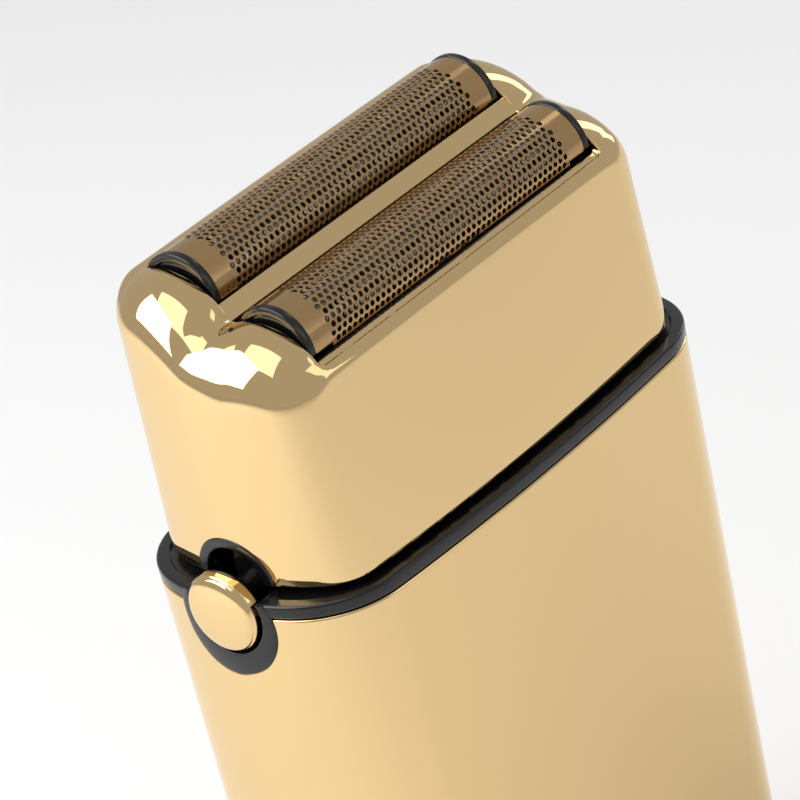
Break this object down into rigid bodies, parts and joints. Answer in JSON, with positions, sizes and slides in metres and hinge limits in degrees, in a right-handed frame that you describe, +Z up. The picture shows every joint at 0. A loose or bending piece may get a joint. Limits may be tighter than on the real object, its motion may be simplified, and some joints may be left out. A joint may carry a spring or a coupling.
{
  "type": "foil shaver",
  "caption": "Cordless foil shaver: flat oval body, slanted lift-off head with arched perforated foils over oscillating cutters, release buttons in the narrow ends.",
  "frame": {"origin": "middle of the flat bottom cap the shaver stands on", "axes": "+Z up out of the head, +X along the foils towards the right narrow end, -Y out of the front broad face, which carries the power slider and the lower foil"},
  "size_m": [0.0638, 0.029, 0.1097],
  "materials": {
    "mirror_gold": "polished gold plating",
    "foil_metal": "thin gold-tinted nickel foil",
    "black_plastic": "satin black moulding",
    "dark_plastic": "matte dark grey moulding",
    "white_plastic": "natural acetal",
    "steel": "ground steel",
    "brass": "turned brass",
    "nickel": "nickel plated strip",
    "board": "green solder mask",
    "cell_wrap": "shrink sleeve",
    "rubber": "soft black rubber",
    "lens": "clear moulded light pipe"
  },
  "bodies": {
    "body": {"body_sleeve": "mirror_gold", "collar": "black_plastic", "bottom_cap": "black_plastic", "cap_screw_1": "steel", "cap_screw_2": "steel", "charging_socket": "dark_plastic", "socket_pin": "nickel", "battery_cell": "cell_wrap", "battery_tab_bottom": "nickel", "battery_tab_top": "nickel", "circuit_board": "board", "switch_body": "steel", "slider_bezel": "black_plastic", "charge_light_lens": "lens", "chassis": "dark_plastic", "motor_can": "steel", "motor_end_bell": "white_plastic", "motor_screw_1": "steel", "motor_screw_2": "steel", "deck_plate": "black_plastic", "deck_seal": "rubber", "deck_screw_1": "steel", "deck_screw_2": "steel", "deck_screw_3": "steel", "deck_screw_4": "steel", "button_spring_left": "steel", "button_spring_right": "steel"},
    "rotor": {"motor_shaft": "steel", "eccentric": "brass", "eccentric_roller": "steel"},
    "carriage": {"drive_bridge": "white_plastic", "cutter_spring_front": "steel", "cutter_spring_rear": "steel"},
    "cutter_front": {"cutter_holder_front": "dark_plastic", "cutter_blade_front": "steel"},
    "cutter_rear": {"cutter_holder_rear": "dark_plastic", "cutter_blade_rear": "steel"},
    "head": {"head_housing": "mirror_gold", "head_liner": "black_plastic"},
    "foil_unit_front": {"foil_front": "foil_metal", "foil_cassette_front": "black_plastic"},
    "foil_unit_rear": {"foil_rear": "foil_metal", "foil_cassette_rear": "black_plastic"},
    "left_button": {"release_button_left": "mirror_gold"},
    "right_button": {"release_button_right": "mirror_gold"},
    "slider": {"power_slider": "mirror_gold"}
  },
  "joints": [
    {"name": "head_lift", "type": "slide", "parent": "body", "child": "head", "axis": [0, 0, 1], "range_m": [0, 0.035]},
    {"name": "foil_float_front", "type": "slide", "parent": "head", "child": "foil_unit_front", "axis": [0, 0.3567, -0.9342], "range_m": [0, 0.0006], "stiffness_N_per_m": 900, "springref_m": -0.0004},
    {"name": "foil_float_rear", "type": "slide", "parent": "head", "child": "foil_unit_rear", "axis": [0, 0.3567, -0.9342], "range_m": [0, 0.0006], "stiffness_N_per_m": 900, "springref_m": -0.0004},
    {"name": "carriage_slide", "type": "slide", "parent": "body", "child": "carriage", "axis": [1, 0, 0], "range_m": [-0.001, 0.001]},
    {"name": "cutter_float_front", "type": "slide", "parent": "carriage", "child": "cutter_front", "axis": [0, 0.3567, -0.9342], "range_m": [0, 0.0006], "stiffness_N_per_m": 600, "springref_m": -0.0006, "deforming": ["cutter_spring_front"]},
    {"name": "cutter_float_rear", "type": "slide", "parent": "carriage", "child": "cutter_rear", "axis": [0, 0.3567, -0.9342], "range_m": [0, 0.0006], "stiffness_N_per_m": 600, "springref_m": -0.0006, "deforming": ["cutter_spring_rear"]},
    {"name": "motor_spin", "type": "hinge", "parent": "body", "child": "rotor", "pos_m": [0, 0, 0.06], "axis": [0, 0, 1], "continuous": true},
    {"name": "left_button_press", "type": "slide", "parent": "body", "child": "left_button", "axis": [1, 0, 0], "range_m": [0, 0.001], "stiffness_N_per_m": 700, "springref_m": -0.0008},
    {"name": "right_button_press", "type": "slide", "parent": "body", "child": "right_button", "axis": [-1, 0, 0], "range_m": [0, 0.001], "stiffness_N_per_m": 700, "springref_m": -0.0008},
    {"name": "power_slide", "type": "slide", "parent": "body", "child": "slider", "axis": [0, 0, 1], "range_m": [0, 0.003]}
  ],
  "couplings": [
    {"joint": "cutter_float_front", "follows": "foil_float_front", "ratio": 1},
    {"joint": "cutter_float_rear", "follows": "foil_float_rear", "ratio": 1}
  ]
}
